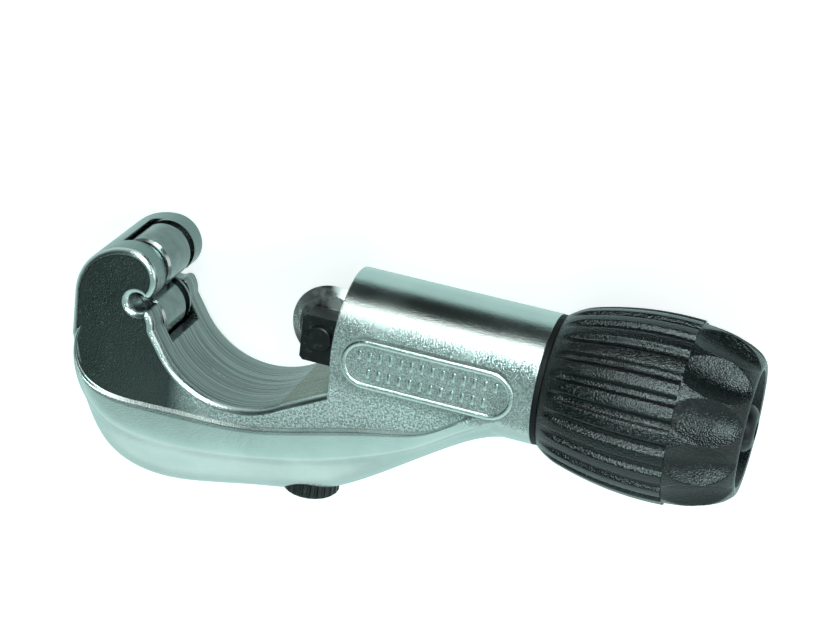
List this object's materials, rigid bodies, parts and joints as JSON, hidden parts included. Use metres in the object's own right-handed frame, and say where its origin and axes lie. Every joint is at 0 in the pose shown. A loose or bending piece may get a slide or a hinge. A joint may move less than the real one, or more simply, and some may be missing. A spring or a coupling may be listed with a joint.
{
  "type": "tube cutter",
  "caption": "Hand tube cutter with a two-roller jaw, cutter wheel on a telescopic slide, ribbed feed knob and swing-out deburrer.",
  "frame": {"origin": "centre of a 28 mm tube clamped in the jaw, on the spindle axis, midway across the frame", "axes": "+X along the spindle towards the knob; +Y from the spine towards the open side of the throat; +Z along the tube, so the tool lies on its flat side"},
  "size_m": [0.1521, 0.0666, 0.0404],
  "materials": {
    "cast_body": "satin nickel-plated die casting with a fine grain",
    "roller_steel": "turned and ground, hardened",
    "axle_steel": "ground pin",
    "slide_black": "black phosphated, slightly oiled",
    "black_screw": "black oxide",
    "wheel_steel": "ground tool steel",
    "spindle_steel": "turned, zinc plated",
    "bush_bronze": "sintered bronze",
    "seal_rubber": "matt black",
    "knob_plastic": "black, fine moulded grain",
    "screw_steel": "bright zinc plated",
    "blade_steel": "stamped and ground",
    "head_plastic": "black moulded, serrated"
  },
  "bodies": {
    "frame": {"frame": "cast_body", "roller_axle_upper": "axle_steel", "roller_axle_lower": "axle_steel", "guide_screw": "black_screw", "bearing_bush": "bush_bronze", "thrust_washer_front": "bush_bronze", "thrust_washer_back": "bush_bronze", "seal_ring": "seal_rubber", "deburrer_washer": "spindle_steel"},
    "roller_upper": {"roller_upper": "roller_steel"},
    "roller_lower": {"roller_lower": "roller_steel"},
    "knob": {"knob": "knob_plastic", "spindle": "spindle_steel", "knob_washer": "screw_steel", "knob_screw": "screw_steel"},
    "slide": {"slide": "slide_black", "wheel_axle": "black_screw", "wheel_axle_clip": "black_screw"},
    "cutter_wheel": {"cutter_wheel": "wheel_steel"},
    "deburrer": {"deburrer_head": "head_plastic", "deburrer_pivot": "axle_steel", "deburrer_blade": "blade_steel", "deburrer_clip": "spindle_steel"}
  },
  "joints": [
    {"name": "knob_turn", "type": "hinge", "parent": "frame", "child": "knob", "pos_m": [0.0961, 0, 0], "axis": [1, 0, 0], "range_deg": [-2856, 852]},
    {"name": "slide_travel", "type": "slide", "parent": "frame", "child": "slide", "axis": [1, 0, 0], "range_m": [-0.0238, 0.0071]},
    {"name": "cutter_wheel_spin", "type": "hinge", "parent": "slide", "child": "cutter_wheel", "pos_m": [0.0234, 0, 0], "axis": [0, 0, 1], "continuous": true},
    {"name": "roller_upper_spin", "type": "hinge", "parent": "frame", "child": "roller_upper", "pos_m": [-0.01909, 0.0066, 0], "axis": [0, 0, 1], "continuous": true},
    {"name": "roller_lower_spin", "type": "hinge", "parent": "frame", "child": "roller_lower", "pos_m": [-0.01909, -0.0066, 0], "axis": [0, 0, 1], "continuous": true},
    {"name": "deburrer_swing", "type": "hinge", "parent": "frame", "child": "deburrer", "pos_m": [0.0225, -0.029, 0], "axis": [0, -1, 0], "range_deg": [0, 105]}
  ],
  "couplings": [
    {"joint": "slide_travel", "follows": "knob_turn", "m_per_rad": 0.00047746}
  ]
}
